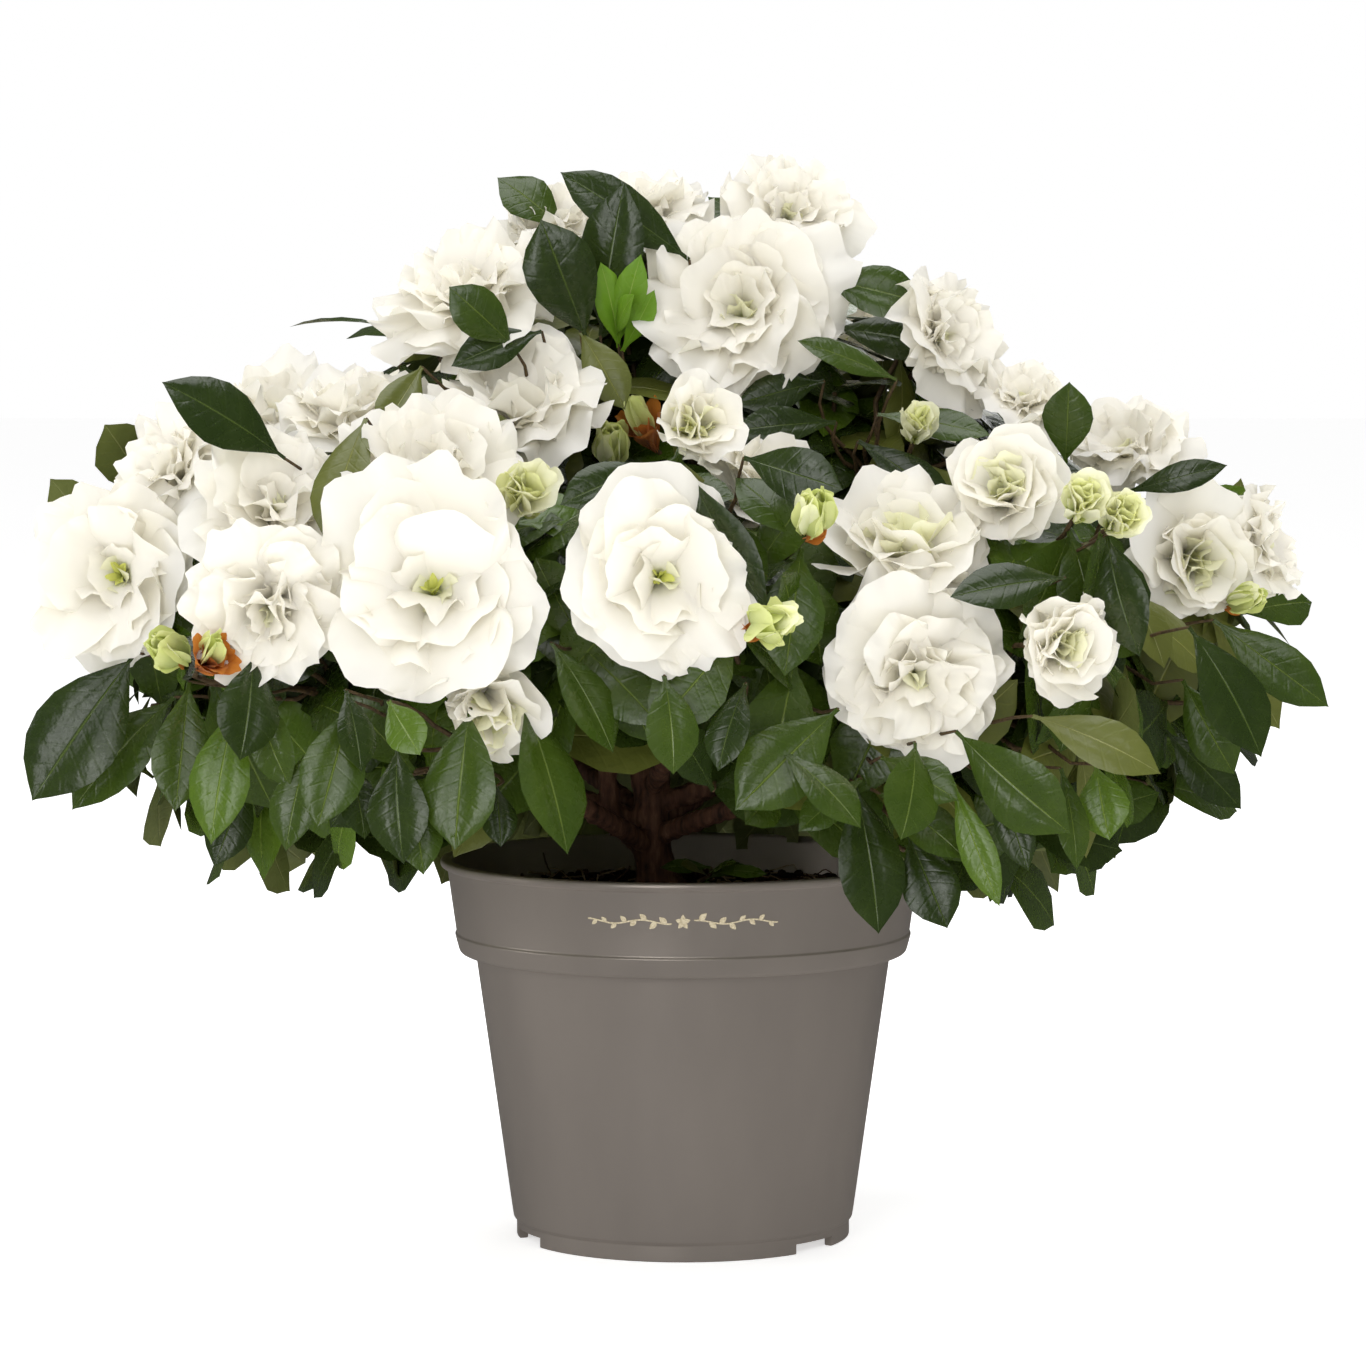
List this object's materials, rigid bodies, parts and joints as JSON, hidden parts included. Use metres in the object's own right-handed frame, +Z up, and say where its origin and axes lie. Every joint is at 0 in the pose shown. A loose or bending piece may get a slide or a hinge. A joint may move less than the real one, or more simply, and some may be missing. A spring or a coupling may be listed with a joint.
{
  "type": "azalea shrub in a pot",
  "caption": "Low domed double white azalea shrub in full bloom, on a short branched woody stem, rooted in a tapered round nursery pot.",
  "frame": {"origin": "centre of the pot's foot ring, on the surface the pot stands on", "axes": "+Z up; -Y towards the front of the plant; +X to the right seen from the front, along its widest spread"},
  "size_m": [0.375, 0.3447, 0.3071],
  "materials": {
    "pot": "satin",
    "soil": "matte",
    "bark": "matte",
    "foliage": "satin",
    "petal": "matte"
  },
  "bodies": {
    "root": {"pot": "pot", "root_ball": "soil", "trunk": "bark", "bough_top": "bark", "bough_upper_left": "bark", "bough_upper_right": "bark", "bough_upper_back": "bark", "bough_left": "bark", "bough_right": "bark", "bough_front_left": "bark", "bough_front": "bark", "bough_front_right": "bark", "bough_back_left": "bark", "bough_back": "bark", "bough_back_right": "bark", "foliage_top": "foliage", "foliage_upper_left": "foliage", "foliage_upper_right": "foliage", "foliage_upper_back": "foliage", "foliage_left": "foliage", "foliage_right": "foliage", "foliage_front_left": "foliage", "foliage_front": "foliage", "foliage_front_right": "foliage", "foliage_back_left": "foliage", "foliage_back": "foliage", "foliage_back_right": "foliage", "foliage_skirt_left": "foliage", "foliage_skirt_right": "foliage"}
  },
  "joints": []
}
